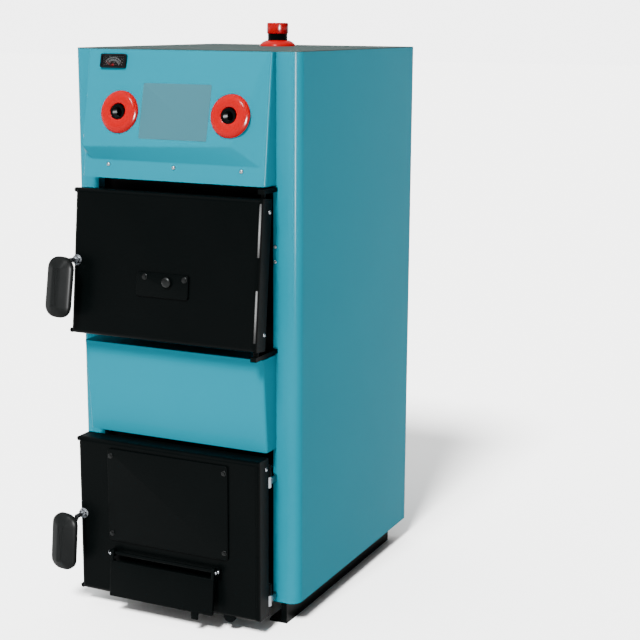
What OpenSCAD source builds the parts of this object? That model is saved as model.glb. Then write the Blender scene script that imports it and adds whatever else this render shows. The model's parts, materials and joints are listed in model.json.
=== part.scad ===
// Solid fuel boiler: a welded steel body in a sheet-metal casing, with two hinged front doors,
// a control panel that leans back, and an air flap on the ash door.
// Origin: on the floor, in the middle of the base frame. The front faces -Y.

/* [Casing] */
// Width over the side panels
casing_w = 565; // [500:5:640]
// Depth from the front columns to the rear edge
casing_d = 648; // [620:4:760]
// Height of the side panels' lower edge above the floor
casing_base = 53; // [40:1:70]
// Width of a front column
column_w = 60; // [54:1:66]
// Outer radius of a column's bend
corner_r = 26; // [12:1:34]
// Thickness of the casing's sheet
sheet = 2; // [1:0.5:3]
// Depth of a column's inward return, which seats on the front plate
return_d = 25; // [18:1:34]
// Depth of the top cover's rim inside the side panels
rim_d = 16; // [8:1:24]

/* [Base frame] */
// Length of a base rail
rail_l = 600; // [520:10:620]
// How far the rails' front ends lie behind the columns
rail_back = 8; // [4:1:30]
// Height of a base rail
rail_h = 55; // [40:1:70]
// Width of a rail's foot on the floor
rail_foot = 44; // [30:1:60]
// Thickness of a rail's upright
rail_leg = 14; // [6:1:20]
// Thickness of a rail's foot and of the cross bar
rail_t = 6; // [4:0.5:10]
// Width of the cross bar
bar_w = 50; // [30:1:80]

/* [Body] */
// Space for insulation between the casing and the body
insulation = 30; // [20:1:36]
// Thickness of a water jacket
jacket = 65; // [50:1:70]
// Thickness of the front plate
plate_t = 8; // [5:1:12]
// Thickness of the floor plate
floor_t = 20; // [10:1:26]
// Height of the water space over the fuel chamber
crown_h = 125; // [100:1:150]
// Space between the body's crown and the top cover
crown_gap = 28; // [20:1:40]
// Height of the grate above the middle panel's lower edge
grate_up = 35; // [20:1:60]
// Height of a grate bar
grate_h = 32; // [20:1:40]
// Number of grate bars
grate_bars = 9; // [5:1:12]
// Thickness of a grate bar
grate_bar = 20; // [12:1:24]
// Width of the ledge that carries the grate
ledge_w = 12; // [8:1:16]

/* [Control panel] */
// Height of the control panel
panel_h = 280; // [265:1:320]
// Space between the fuel door's top and the control panel
panel_lift = 22; // [18:1:30]
// How far the panel stands out at its top
panel_top_out = 18; // [10:1:26]
// How far the panel stands out at its lower edge
panel_low_out = 52; // [42:1:60]
// Radius of the panels' side edges
panel_r = 6; // [3:0.5:10]
// How far the panels lap over each column
panel_lap = 7; // [4:0.5:10]
// How far the hood's lip stands out
lip_out = 66; // [58:1:72]
// Height of the hood's lip above the panel's lower edge
lip_up = 73; // [68:1:84]
// How much lower the lip's left end is
lip_drop = 4; // [0:0.5:8]
// How much higher the lip's right end is
lip_rise = 10; // [0:0.5:16]
// Distance of the lip's left end from the panel's side edge
lip_left_in = 11; // [8:0.5:40]
// Distance of the lip's right end from the panel's side edge
lip_right_in = 76; // [50:1:90]
// Height of the line where the hood's underside meets the panel
brow_up = 40; // [36:1:50]
// Distance of that line's left end from the panel's side edge
brow_left_in = 25; // [18:0.5:40]
// Distance of that line's right end from the panel's side edge
brow_right_in = 13; // [8:0.5:20]
// Height of the hood's left corner on the panel's side edge
hip_left_up = 52; // [48:1:64]
// Height of the hood's right corner on the panel's side edge
hip_right_up = 64; // [58:1:66]

/* [Connections] */
// Distance of a front socket from the column
socket_in = 84.5; // [76:0.5:100]
// Sideways shift of the middle between both front sockets
socket_shift = 8; // [0:1:12]
// Distance of the front sockets below the panel's top
socket_down = 134; // [110:1:145]
// Outside diameter of a front socket
socket_d = 35; // [30:0.5:38]
// Inside diameter of a front socket
socket_bore = 24; // [18:0.5:26]
// How far a front socket stands out of its rosette's seat
socket_out = 11; // [6:0.5:20]
// Diameter of a front rosette
rosette_d = 94; // [80:1:104]
// Height of a front rosette
rosette_h = 12; // [9:0.5:16]
// Distance of the flow pipe's axis from the casing's rear edge
flow_back = 188; // [150:2:240]
// Outside diameter of the flow and return pipes
pipe_d = 48.3; // [42:0.1:54]
// Wall of the pipes
pipe_t = 3.2; // [2:0.1:5]
// How far the flow pipe stands out of the top cover
flow_out = 54; // [46:1:70]
// Diameter of the flow pipe's rosette
flow_rosette_d = 88; // [76:1:100]
// Height of the flow pipe's rosette
flow_rosette_h = 14; // [10:0.5:18]
// Length of the cap on the flow pipe
cap_h = 26; // [18:1:30]
// Wall of the cap
cap_t = 2; // [1:0.5:3]
// Outside diameter of the flue collar
flue_d = 160; // [130:2:180]
// Wall of the flue collar
flue_t = 4; // [3:0.5:6]
// How far the flue collar stands out behind the rear panel
flue_out = 60; // [40:2:90]
// Space between the flue collar and the crown
flue_down = 30; // [20:1:50]
// Sideways place of the return pipe and the drain
return_x = 120; // [90:2:140]
// Height of the return pipe above the floor plate
return_up = 100; // [70:1:160]
// Height of the drain above the floor plate
drain_up = 43; // [30:1:60]
// Outside diameter of the drain
drain_d = 27; // [22:0.5:32]
// How far the return pipe and the drain stand out
rear_out = 45; // [30:1:70]

/* [Thermometer] */
// Width of the bezel
gauge_w = 66; // [56:1:72]
// Height of the bezel
gauge_h = 31; // [26:1:36]
// How far the bezel stands out
gauge_t = 6; // [4:0.5:8]
// Width of the bezel's border
gauge_border = 4; // [3:0.5:6]
// Depth of the case behind the panel
gauge_case = 34; // [20:1:45]
// Distance of the thermometer's middle from the column
gauge_in = 64.5; // [52:0.5:80]
// Distance of the thermometer's middle below the panel's top
gauge_down = 25.5; // [22:0.5:34]

/* [Doors] */
// Lean of the fuel door, parallel to the control panel's edges
lean = 6; // [4:0.5:8]
// Height of the fuel door along its lean
upper_h = 327; // [300:1:380]
// Space between the middle panel and the fuel door
upper_gap = 26; // [20:1:34]
// How far the fuel door's lower edge stands out
upper_out = 110; // [104:1:116]
// Height of the ash door's lower edge above the floor
lower_z = 38; // [32:1:44]
// Height of the ash door
lower_h = 370; // [350:1:400]
// How far the ash door stands out
lower_out = 95; // [88:1:100]
// How far a door laps over each column
door_lap = 12; // [6:0.5:16]
// Depth of a door's rim
door_d = 48; // [44:1:52]
// Radius of a door's front edges
door_r = 10; // [5:0.5:14]
// Thickness of a door's sheet
door_t = 4; // [2:0.5:5]
// Thickness of a door's lining
lining_t = 21; // [15:1:22]
// Reach of the round ears at a door's left corners
ear = 5; // [3:0.5:8]
// Diameter of an ear
ear_d = 11; // [8:0.5:16]

/* [Door frames] */
// Distance of a mouth's sides from the columns
mouth_in = 57.5; // [50:0.5:80]
// Distance of the fuel mouth from the fuel door's lower edge
fuel_mouth_low = 45; // [38:1:60]
// Distance of the fuel mouth from the fuel door's top
fuel_mouth_top = 48; // [40:1:60]
// Distance of the ash mouth from the ash door's lower edge
ash_mouth_low = 65; // [58:1:80]
// Distance of the ash mouth from the ash door's top
ash_mouth_top = 60; // [40:1:80]
// Wall of a door frame
frame_t = 12; // [8:0.5:14]
// Space between a door's lining and its frame
seal_gap = 5; // [4:0.5:8]

/* [Middle panel] */
// Space between the ash door and the middle panel
middle_gap = 9; // [6:0.5:14]
// Height of the middle panel
middle_h = 213; // [180:1:260]
// How far the middle panel stands out at its top
middle_top_out = 64; // [54:1:72]
// How far the middle panel stands out at its lower edge
middle_low_out = 45; // [36:1:52]

/* [Hinges] */
// Distance of the fuel door's hinge axis from its right edge
fuel_hinge_side = 8.5; // [8:0.25:10]
// Depth of that axis behind the door's front
fuel_hinge_in = 22; // [18:0.5:26]
// Distance of the ash door's hinge axis from its right edge
ash_hinge_side = 6.5; // [6:0.25:8]
// Depth of that axis behind the door's rim
ash_hinge_back = 12; // [11:0.5:16]
// Radius of a hinge pin
pin_r = 4.5; // [3.5:0.25:5]
// Radius of a hinge barrel
barrel_r = 7; // [6:0.25:7.25]
// Height of a hinge barrel
barrel_h = 26; // [20:1:34]
// Thickness of a hinge arm
arm_t = 6; // [4:0.5:8]
// Space between two barrels, and at each end of the flap
play = 1; // [0.5:0.25:2]
// Thickness of the level lugs that carry the fuel door
hinge_lug_h = 10; // [8:0.5:12]
// Space between those lugs and the panels
hinge_lug_gap = 4; // [2:0.5:5]
// How far those lugs reach in front of the axis
hinge_lug_front = 12; // [9:0.5:14]
// Depth of the bosses that take the pins in the fuel door
boss_h = 20; // [14:1:30]
// Distance of the ash door's upper lug below the door's top
lower_hinge_down = 73; // [70:1:110]
// Height of the ash door's lower lug above the door's lower edge
lower_hinge_low = 18; // [16:1:60]

/* [Handles] */
// Distance of a handle's spindle from the door's left edge
spindle_in = 11.5; // [11:0.5:16]
// Radius of a spindle
spindle_r = 5.5; // [4.5:0.25:6]
// Height of the fuel door's spindle along the door
upper_spindle = 165; // [140:1:200]
// Height of the ash door's spindle along the door
lower_spindle = 187; // [170:1:230]
// Length of a grip
grip_l = 137; // [120:1:150]
// Width of a grip
grip_w = 65; // [56:1:70]
// Depth of a grip
grip_d = 30; // [24:1:36]
// Space between a grip and the door
grip_gap = 30; // [20:1:40]
// Rise of a grip's top over its spindle
grip_rise = 8; // [4:0.5:12]
// Lean of the fuel door's hanging grip
upper_grip_lean = 3; // [0:0.5:10]
// Lean of the ash door's hanging grip
lower_grip_lean = 4.5; // [0:0.5:10]
// Distance of the fuel door's grip from its spindle
upper_grip_off = 15; // [6:0.5:30]
// Distance of the ash door's grip from its spindle
lower_grip_off = 25; // [6:0.5:30]
// Thickness of the lever between spindle and grip
lever_t = 5; // [3:0.5:8]
// Width of the lever
lever_w = 9; // [6:0.5:12]

/* [Door fittings] */
// Distance of the secondary air plate from the fuel door's left edge
slide_in = 171; // [140:1:200]
// Height of the secondary air plate's lower edge along the door
slide_z = 99; // [80:1:140]
// Width of the secondary air plate
slide_w = 131; // [110:1:150]
// Height of the secondary air plate
slide_h = 53; // [40:1:60]
// Sideways shift of the knob from the plate's middle
knob_shift = 14; // [-40:1:40]
// Diameter of the secondary air plate's knob
knob_d = 22; // [16:1:28]
// How far the knob stands out of its plate
knob_out = 10; // [6:0.5:16]
// Thickness of the plates on the doors
fitting_t = 5; // [3:0.5:7]
// Distance of the cover plate from the ash door's left edge
cover_in = 82.5; // [50:0.5:90]
// Distance of the cover plate from the ash door's right edge
cover_right = 74.5; // [60:0.5:100]
// Height of the cover plate's lower edge along the door
cover_z = 135; // [130:1:150]
// Distance of the cover plate from the ash door's top
cover_top = 16; // [12:1:40]
// Radius of the plates' corners
fitting_r = 6; // [3:0.5:12]
// Distance of the lug under the ash door from the door's right edge
foot_in = 77; // [60:1:120]
// Diameter of that lug
foot_d = 30; // [20:1:36]
// Reach of that lug below the door
foot_out = 13; // [6:0.5:18]

/* [Air flap] */
// Distance of the flap from the ash door's left edge
flap_in = 97; // [80:0.5:110]
// Width of the flap
flap_w = 272; // [240:1:280]
// Height of the flap's pivot along the door
pivot_z = 109.5; // [104:0.5:114]
// Distance of the flap's pivot from the door
pivot_out = 14; // [12:0.5:18]
// Distance of the flap's top below its pivot
flap_down = 16.5; // [14:0.5:24]
// Height of the flap
flap_h = 84; // [70:1:88]
// Thickness of the flap
flap_t = 4; // [2:0.5:5]
// How far the flap's lower edge leans out
flap_lean = 6; // [4:0.5:9]
// Space between the flap's rim and the door
flap_gap = 5; // [4:0.5:7]
// Radius of the flap's pivot rod
rod_r = 4; // [3:0.25:5]
// Thickness of the lugs that carry the rod, and of the flap's ears
lug_t = 7; // [5:0.5:10]
// Width of the tab under the flap
tab_w = 18; // [12:1:26]
// Length of the tab under the flap
tab_l = 16; // [8:0.5:18]
// Distance of the tab from the flap's right edge
tab_in = 36; // [8:1:60]

/* [Hidden] */

$fn = 64;
// Sides of the round ends of a grip
grip_sides = 32;
// Overrun of every cut
cut = 1;
// Clearance around a pin, a rod or a fitted piece
run = 0.05;
// Clearance around a pipe that passes through a sheet
pass = 3;

turquoise = "#4bbbcd";
black = "#141618";
red = "#e32d2d";
steel = "#8d9094";
zinc = "#c9ccd0";
cover_grey = "#6b6b5c";
lining_grey = "#b8b4aa";
plastic = "#2c2e31";
dial_black = "#2f2d2e";

// Heights, from the floor up
middle_z = lower_z + lower_h + middle_gap;
upper_z = middle_z + middle_h + upper_gap;
upper_rise = upper_h * cos(lean);
panel_z = upper_z + upper_rise + panel_lift;
panel_top = panel_z + panel_h;
casing_h = panel_top + sheet;
lip_z = panel_z + lip_up;
brow_z = panel_z + brow_up;
lip_left_z = lip_z - lip_drop;
lip_right_z = lip_z + lip_rise;
hip_left_z = panel_z + hip_left_up;
hip_right_z = panel_z + hip_right_up;
socket_z = panel_top - socket_down;
gauge_z = panel_top - gauge_down;
chamber_z = rail_h + floor_t;
body_top = panel_top - crown_gap;
crown_z = body_top - crown_h;
grate_z = middle_z + grate_up;
flue_z = crown_z - flue_down - flue_d / 2;
return_z = chamber_z + return_up;
drain_z = chamber_z + drain_up;
fuel_mouth_z = upper_z + fuel_mouth_low;
fuel_mouth_h = upper_rise - fuel_mouth_low - fuel_mouth_top;
ash_mouth_z = lower_z + ash_mouth_low;
ash_mouth_h = lower_h - ash_mouth_low - ash_mouth_top;

// Places across the width
half_w = casing_w / 2;
inner_x = half_w - column_w;
body_x = half_w - insulation;
chamber_x = body_x - jacket;
panel_x = inner_x + panel_lap;
socket_x = inner_x - socket_in;
door_x = inner_x + door_lap;
door_w = 2 * door_x;
fuel_hinge_x = door_x - fuel_hinge_side;
ash_hinge_x = door_x - ash_hinge_side;
mouth_w = 2 * (inner_x - mouth_in);
cover_w = door_w - cover_in - cover_right;
cover_h = lower_h - cover_z - cover_top;

// Places along the depth; the columns' front is at front_y
front_y = -rail_l / 2 - rail_back;
rear_y = front_y + casing_d;
plate_y = front_y + return_d;
body_y = plate_y + plate_t;
body_rear = rear_y - insulation;
chamber_rear = body_rear - jacket;
pipe_y = rear_y - flow_back;

// Lean of the control panel's base plane and of the hood's main face
panel_slope = (panel_low_out - panel_top_out) / panel_h;
hood_slope = (lip_out - panel_top_out) / (panel_top - lip_z);
hood_lean = atan(hood_slope);
function panel_out(z) = panel_top_out + (panel_top - z) * panel_slope;
function hood_out(z) = panel_top_out + (panel_top - z) * hood_slope;
// Distance of the fuel door's front, and of its frame's seat, in front of the columns
function fuel_door_out(z) = upper_out - (z - upper_z) * tan(lean);
function fuel_seat_out(z) = fuel_door_out(z) - (door_t + lining_t + seal_gap) / cos(lean);
ash_seat_out = lower_out - door_t - lining_t - seal_gap;
// Distance of the fuel door's hinge axis in front of the columns, and its height along the door
function fuel_hinge_out(z) = fuel_door_out(z) - fuel_hinge_in / cos(lean);
function along_door(z) = (z - upper_z + fuel_hinge_in * sin(lean)) / cos(lean);

// Frames of reference

// X across, Y back, Z along the leaning door; the front of the door is at Y = 0
module on_fuel_door() {
  translate([0, front_y - upper_out, upper_z])
    rotate([-lean, 0, 0])
      children();
}

module on_ash_door() {
  translate([0, front_y - lower_out, lower_z])
    children();
}

// On the hood's main face, Y pointing into the panel
module on_hood(x, z) {
  translate([x, front_y - hood_out(z), z])
    rotate([-hood_lean, 0, 0])
      children();
}

// A profile of [height, depth] points, drawn across the width from x
module across(x, w) {
  translate([x + w, 0, 0])
    rotate([0, -90, 0])
      linear_extrude(w)
        children();
}

// Shapes that repeat

// Rectangle with its two front corners rounded; the front is at Y = 0
module front_rounded(w, d, r) {
  translate([0, r])
    square([w, d - r]);
  translate([r, 0])
    square([w - 2 * r, d]);
  translate([r, r])
    circle(r);
  translate([w - r, r])
    circle(r);
}

module rounded_block(w, h, d, r) {
  intersection() {
    linear_extrude(h)
      front_rounded(w, d, r);
    across(0, w)
      front_rounded(h, d, r);
  }
}

// Folded tray, open at the back
module tray(w, h, d, r, t) {
  difference() {
    rounded_block(w, h, d, r);
    translate([t, t, t])
      rounded_block(w - 2 * t, h - 2 * t, d, r - t);
  }
}

module tube(d, bore, l) {
  difference() {
    cylinder(d = d, h = l);
    translate([0, 0, -cut])
      cylinder(d = bore, h = l + 2 * cut);
  }
}

// Tube along Y, from y to the depth y + l
module tube_back(x, y, z, d, bore, l) {
  translate([x, y, z])
    rotate([-90, 0, 0])
      tube(d, bore, l);
}

// Round hole through a sheet at the depth y
module hole_back(x, y, z, d, t) {
  translate([x, y - cut, z])
    rotate([-90, 0, 0])
      cylinder(d = d, h = t + 2 * cut);
}

// Plate with round corners, lying on a door's front
module fitting_plate(w, h, t, r) {
  rotate([90, 0, 0])
    linear_extrude(t) {
      translate([r, 0])
        square([w - 2 * r, h]);
      translate([0, r])
        square([w, h - 2 * r]);
      for (x = [r, w - r], y = [r, h - r])
        translate([x, y])
          circle(r);
    }
}

// Flat disc with a rolled edge and a hole, on the floor of its own frame
module rosette(d, hole, h) {
  rotate_extrude() {
    translate([hole / 2, 0])
      square([d / 2 - h - hole / 2, h]);
    intersection() {
      translate([d / 2 - h, 0])
        circle(h);
      translate([d / 2 - h, 0])
        square(h);
    }
  }
}

// Casing

module casing_plan(inset) {
  translate([-half_w + inset, front_y + inset])
    front_rounded(casing_w - 2 * inset, casing_d - 2 * inset, corner_r - inset);
}

// Column, side and rear return in one bent sheet
module side_sheet() {
  translate([0, 0, casing_base])
    linear_extrude(panel_top - casing_base) {
      intersection() {
        difference() {
          casing_plan(0);
          casing_plan(sheet);
        }
        translate([inner_x, front_y])
          square([column_w, casing_d]);
      }
      translate([inner_x, front_y])
        square([sheet, return_d]);
    }
}

module right_side_panel() {
  color(turquoise)
    side_sheet();
}

module left_side_panel() {
  color(turquoise)
    mirror([1, 0, 0])
      side_sheet();
}

// Flat sheet with a rim that drops inside both side panels
module top_cover() {
  rim_in = sheet + run;
  color(cover_grey)
    difference() {
      union() {
        translate([0, 0, panel_top])
          linear_extrude(sheet)
            casing_plan(0);
        for (side = [-1, 1])
          translate([side * (half_w - rim_in - sheet / 2) - sheet / 2, front_y + column_w, panel_top - rim_d])
            cube([sheet, casing_d - 2 * column_w, rim_d]);
      }
      translate([0, pipe_y, panel_top - cut])
        cylinder(d = pipe_d + 2 * pass, h = sheet + 2 * cut);
    }
}

// Lies inside the side panels' rear returns
module rear_panel() {
  inside_y = rear_y - 2 * sheet;
  color(turquoise)
    difference() {
      translate([-half_w + sheet + run, inside_y, casing_base])
        cube([casing_w - 2 * (sheet + run), sheet, panel_top - casing_base]);
      hole_back(0, inside_y, flue_z, flue_d + 2 * pass, sheet);
      hole_back(return_x, inside_y, return_z, pipe_d + 2 * pass, sheet);
      hole_back(-return_x, inside_y, drain_z, drain_d + 2 * pass, sheet);
    }
}

// Upright box with a leaning front and rounded side edges, seated on the columns
module leaning_box(half, low, top, low_out, top_out, r) {
  h = top - low;
  front_lean = atan((low_out - top_out) / h);
  over = lip_out + return_d;
  intersection() {
    translate([-half, front_y - low_out, low])
      rotate([-front_lean, 0, 0])
        translate([0, 0, -over])
          linear_extrude(h + 2 * over)
            front_rounded(2 * half, 2 * over, r);
    translate([-half, front_y - 2 * over, low])
      cube([2 * half, 2 * over, h]);
  }
}

// Hood: a main face that swells out to a lip, with the underside and both ends folded back;
// the left end is steep and the right end runs out in a long hip
module hood_form(inset) {
  x = panel_x - panel_r - inset;
  top = panel_top - inset;
  lip_left = inset - panel_x + lip_left_in;
  lip_right = panel_x - lip_right_in - inset;
  brow_left = inset - panel_x + brow_left_in;
  brow_right = panel_x - brow_right_in - inset;
  base = sheet / 2;
  polyhedron(
    points = [
      [-x, front_y - panel_out(top) + base, top],
      [x, front_y - panel_out(top) + base, top],
      [x, front_y - panel_out(hip_right_z) + base, hip_right_z],
      [brow_right, front_y - panel_out(brow_z) + base, brow_z],
      [brow_left, front_y - panel_out(brow_z) + base, brow_z],
      [-x, front_y - panel_out(hip_left_z) + base, hip_left_z],
      [lip_left, front_y - hood_out(lip_left_z), lip_left_z],
      [lip_right, front_y - hood_out(lip_right_z), lip_right_z]
    ],
    faces = [
      [5, 4, 3, 2, 1, 0], [7, 6, 0, 1], [7, 1, 2], [7, 2, 3], [6, 7, 3], [6, 3, 4], [6, 4, 5], [6, 5, 0]
    ]
  );
}

module control_panel() {
  cutout_w = gauge_w - 2 * gauge_border + 2 * run;
  cutout_h = gauge_h - 2 * gauge_border + 2 * run;
  color(turquoise)
    difference() {
      union() {
        leaning_box(panel_x, panel_z, panel_top, panel_low_out, panel_top_out, panel_r);
        hood_form(0);
      }
      translate([0, sheet, 0]) {
        leaning_box(panel_x - sheet, panel_z + sheet, panel_top - sheet,
          panel_out(panel_z + sheet), panel_out(panel_top - sheet), panel_r - sheet);
        hood_form(sheet);
      }
      for (side = [-1, 1])
        hole_back(socket_shift + side * socket_x, front_y - lip_out, socket_z, socket_d + 2 * pass, lip_out);
      on_hood(-inner_x + gauge_in, gauge_z)
        gauge_block(cutout_w, cutout_h, -gauge_t, lip_out);
    }
}

module middle_panel() {
  top = middle_z + middle_h;
  color(turquoise)
    difference() {
      leaning_box(panel_x, middle_z, top, middle_low_out, middle_top_out, panel_r);
      translate([0, sheet, 0])
        leaning_box(panel_x - sheet, middle_z + sheet, top - sheet,
          middle_low_out, middle_top_out, panel_r - sheet);
    }
}

// Base frame

module rail() {
  translate([body_x - rail_leg, -rail_l / 2, 0])
    cube([rail_leg, rail_l, rail_h]);
  translate([body_x - rail_foot, -rail_l / 2, 0])
    cube([rail_foot, rail_l, rail_t]);
}

module right_base_rail() {
  color(black)
    rail();
}

module left_base_rail() {
  color(black)
    mirror([1, 0, 0])
      rail();
}

module base_cross_bar() {
  reach = body_x - rail_foot;
  color(black)
    translate([-reach, -bar_w / 2, 0])
      cube([2 * reach, bar_w, rail_t]);
}

// Body

module floor_plate() {
  color(steel)
    translate([-body_x, body_y, rail_h])
      cube([2 * body_x, body_rear - body_y, floor_t]);
}

module mouth(z, h) {
  translate([-mouth_w / 2, plate_y - cut, z])
    cube([mouth_w, plate_t + 2 * cut, h]);
}

module front_plate() {
  color(black)
    difference() {
      translate([-body_x, plate_y, rail_h])
        cube([2 * body_x, plate_t, body_top - rail_h]);
      mouth(fuel_mouth_z, fuel_mouth_h);
      mouth(ash_mouth_z, ash_mouth_h);
    }
}

module side_jacket() {
  translate([chamber_x, body_y, chamber_z])
    cube([jacket, body_rear - body_y, body_top - chamber_z]);
}

module right_water_jacket() {
  color(steel)
    side_jacket();
}

module left_water_jacket() {
  color(steel)
    mirror([1, 0, 0])
      side_jacket();
}

module rear_water_jacket() {
  color(steel)
    difference() {
      translate([-chamber_x, chamber_rear, chamber_z])
        cube([2 * chamber_x, jacket, body_top - chamber_z]);
      hole_back(0, chamber_rear, flue_z, flue_d - 2 * flue_t, jacket);
    }
}

module crown_water_jacket() {
  color(steel)
    translate([-chamber_x, body_y, crown_z])
      cube([2 * chamber_x, chamber_rear - body_y, crown_h]);
}

// Bar along a side jacket that carries the grate
module grate_ledge() {
  translate([chamber_x - ledge_w, body_y, grate_z - ledge_w])
    cube([ledge_w, chamber_rear - body_y, ledge_w]);
}

module right_grate_ledge() {
  color(steel)
    grate_ledge();
}

module left_grate_ledge() {
  color(steel)
    mirror([1, 0, 0])
      grate_ledge();
}

// Bars from front to rear on two cross ribs, resting on the ledges
module fire_grate() {
  side_gap = ledge_w / 2;
  span = 2 * (chamber_x - side_gap);
  length = chamber_rear - body_y - 2 * side_gap;
  pitch = (span - grate_bar) / (grate_bars - 1);
  color(black)
    translate([-span / 2, body_y + side_gap, grate_z]) {
      for (i = [0 : grate_bars - 1])
        translate([i * pitch, 0, 0])
          cube([grate_bar, length, grate_h]);
      for (y = [0, length - grate_bar])
        translate([0, y, 0])
          cube([span, grate_bar, grate_h / 2]);
    }
}

// Collar between the front plate and a door's lining
module frame_ring(z, h, low_out, top_out) {
  w = mouth_w + 2 * frame_t;
  difference() {
    across(-w / 2, w)
      polygon([
        [z - frame_t, plate_y], [z + h + frame_t, plate_y],
        [z + h + frame_t, front_y - top_out], [z - frame_t, front_y - low_out]
      ]);
    translate([-mouth_w / 2, front_y - upper_out, z])
      cube([mouth_w, upper_out + return_d + cut, h]);
  }
}

module fuel_door_frame() {
  low = fuel_mouth_z - frame_t;
  top = fuel_mouth_z + fuel_mouth_h + frame_t;
  color(black)
    frame_ring(fuel_mouth_z, fuel_mouth_h, fuel_seat_out(low), fuel_seat_out(top));
}

module ash_door_frame() {
  color(black)
    frame_ring(ash_mouth_z, ash_mouth_h, ash_seat_out, ash_seat_out);
}

// Connections

module flow_pipe() {
  color(black)
    translate([0, pipe_y, body_top])
      tube(pipe_d, pipe_d - 2 * pipe_t, casing_h + flow_out - body_top);
}

module flow_pipe_rosette() {
  color(red)
    translate([0, pipe_y, casing_h])
      rosette(flow_rosette_d, pipe_d + 2 * run, flow_rosette_h);
}

module flow_pipe_cap() {
  inside_d = pipe_d + 2 * run;
  color(red)
    translate([0, pipe_y, casing_h + flow_out + cap_t - cap_h])
      difference() {
        cylinder(d = inside_d + 2 * cap_t, h = cap_h);
        translate([0, 0, -cut])
          cylinder(d = inside_d, h = cap_h - cap_t + cut);
      }
}

module front_socket(side) {
  reach = hood_out(socket_z) + socket_out;
  tube_back(socket_shift + side * socket_x, front_y - reach, socket_z,
    socket_d, socket_bore, reach + return_d);
}

module right_socket() {
  color(black)
    front_socket(1);
}

module left_socket() {
  color(black)
    front_socket(-1);
}

module front_rosette(side) {
  on_hood(socket_shift + side * socket_x, socket_z)
    rotate([90, 0, 0])
      rosette(rosette_d, socket_d + 2 * pass, rosette_h);
}

module right_rosette() {
  color(red)
    front_rosette(1);
}

module left_rosette() {
  color(red)
    front_rosette(-1);
}

module flue_collar() {
  color(black)
    tube_back(0, body_rear, flue_z, flue_d, flue_d - 2 * flue_t, insulation + flue_out);
}

module return_pipe() {
  color(black)
    tube_back(return_x, body_rear, return_z, pipe_d, pipe_d - 2 * pipe_t, insulation + rear_out);
}

module drain_socket() {
  color(black)
    tube_back(-return_x, body_rear, drain_z, drain_d, drain_d - 2 * pipe_t, insulation + rear_out);
}

// Thermometer

// Block centred on the gauge, from y to y + depth
module gauge_block(w, h, y, depth) {
  translate([-w / 2, y, -h / 2])
    cube([w, depth, h]);
}

module thermometer_case() {
  inner_w = gauge_w - 2 * gauge_border;
  inner_h = gauge_h - 2 * gauge_border;
  color(black)
    on_hood(-inner_x + gauge_in, gauge_z)
      difference() {
        union() {
          gauge_block(gauge_w, gauge_h, -gauge_t, gauge_t);
          gauge_block(inner_w, inner_h, 0, gauge_case);
        }
        gauge_block(inner_w, inner_h, -gauge_t - cut, gauge_t / 2 + cut);
      }
}

module thermometer_face() {
  inner_w = gauge_w - 2 * gauge_border - 2 * run;
  inner_h = gauge_h - 2 * gauge_border - 2 * run;
  color(dial_black)
    on_hood(-inner_x + gauge_in, gauge_z)
      gauge_block(inner_w, inner_h, -gauge_t / 2 - sheet / 2, sheet / 2);
}

// Hinges

// Heights of the fuel door's lugs
fuel_top_lug = panel_z - hinge_lug_gap - hinge_lug_h;
fuel_low_lug = middle_z + middle_h + hinge_lug_gap;

// Level lug from the column to the front of the fuel door's leaning pin
module fuel_door_lug(z) {
  reach = fuel_hinge_out(z) + hinge_lug_front;
  translate([fuel_hinge_x - barrel_r, front_y - reach, z])
    cube([2 * barrel_r, reach, hinge_lug_h]);
}

// Round piece on the fuel door's hinge axis, between two heights along the door
module on_fuel_hinge(r, low, high) {
  translate([fuel_hinge_x, fuel_hinge_in, low])
    cylinder(r = r, h = high - low);
}

module fuel_door_top_hinge() {
  color(black) {
    fuel_door_lug(fuel_top_lug);
    on_fuel_door()
      on_fuel_hinge(pin_r, upper_h - boss_h, along_door(fuel_top_lug + hinge_lug_h / 2));
  }
}

// The lower pin has a collar that carries the door
module fuel_door_low_hinge() {
  seat = along_door(fuel_low_lug + hinge_lug_h / 2);
  color(black) {
    fuel_door_lug(fuel_low_lug);
    on_fuel_door() {
      on_fuel_hinge(pin_r, seat, boss_h);
      on_fuel_hinge(barrel_r - play, seat, -play);
    }
  }
}

// Heights of the ash door's lugs along the door, and the depth of their axis
ash_top_lug = lower_h - lower_hinge_down;
ash_low_lug = lower_hinge_low;
ash_hinge_y = door_d + ash_hinge_back;

// Lug on the column, with its pin pointing up
module ash_hinge(z) {
  color(black)
    on_ash_door()
      translate([ash_hinge_x, ash_hinge_y, z]) {
        cylinder(r = barrel_r, h = barrel_h);
        translate([-arm_t / 2, 0, 0])
          cube([arm_t, lower_out - ash_hinge_y, barrel_h]);
        cylinder(r = pin_r, h = 2 * barrel_h + play);
      }
}

// Bored barrel over a lug, on an arm welded inside the door's right wall
module ash_knuckle(z) {
  reach = ash_hinge_back + 2 * door_t;
  translate([ash_hinge_x, ash_hinge_y, z + barrel_h + play])
    difference() {
      union() {
        cylinder(r = barrel_r, h = barrel_h);
        translate([-arm_t / 2, -reach, 0])
          cube([arm_t / 2 + ash_hinge_side - door_t / 2, reach, barrel_h]);
      }
      translate([0, 0, -cut])
        cylinder(r = pin_r + run, h = barrel_h + 2 * cut);
    }
}

module ash_door_top_hinge() {
  ash_hinge(ash_top_lug);
}

module ash_door_low_hinge() {
  ash_hinge(ash_low_lug);
}

// Doors

// Round ears at a door's left corners
module door_ears(h) {
  for (z = [ear_d / 2, h - ear_d / 2])
    translate([-door_x - ear + ear_d / 2, door_t, z])
      rotate([-90, 0, 0])
        cylinder(d = ear_d, h = door_d - 2 * door_t);
}

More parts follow.
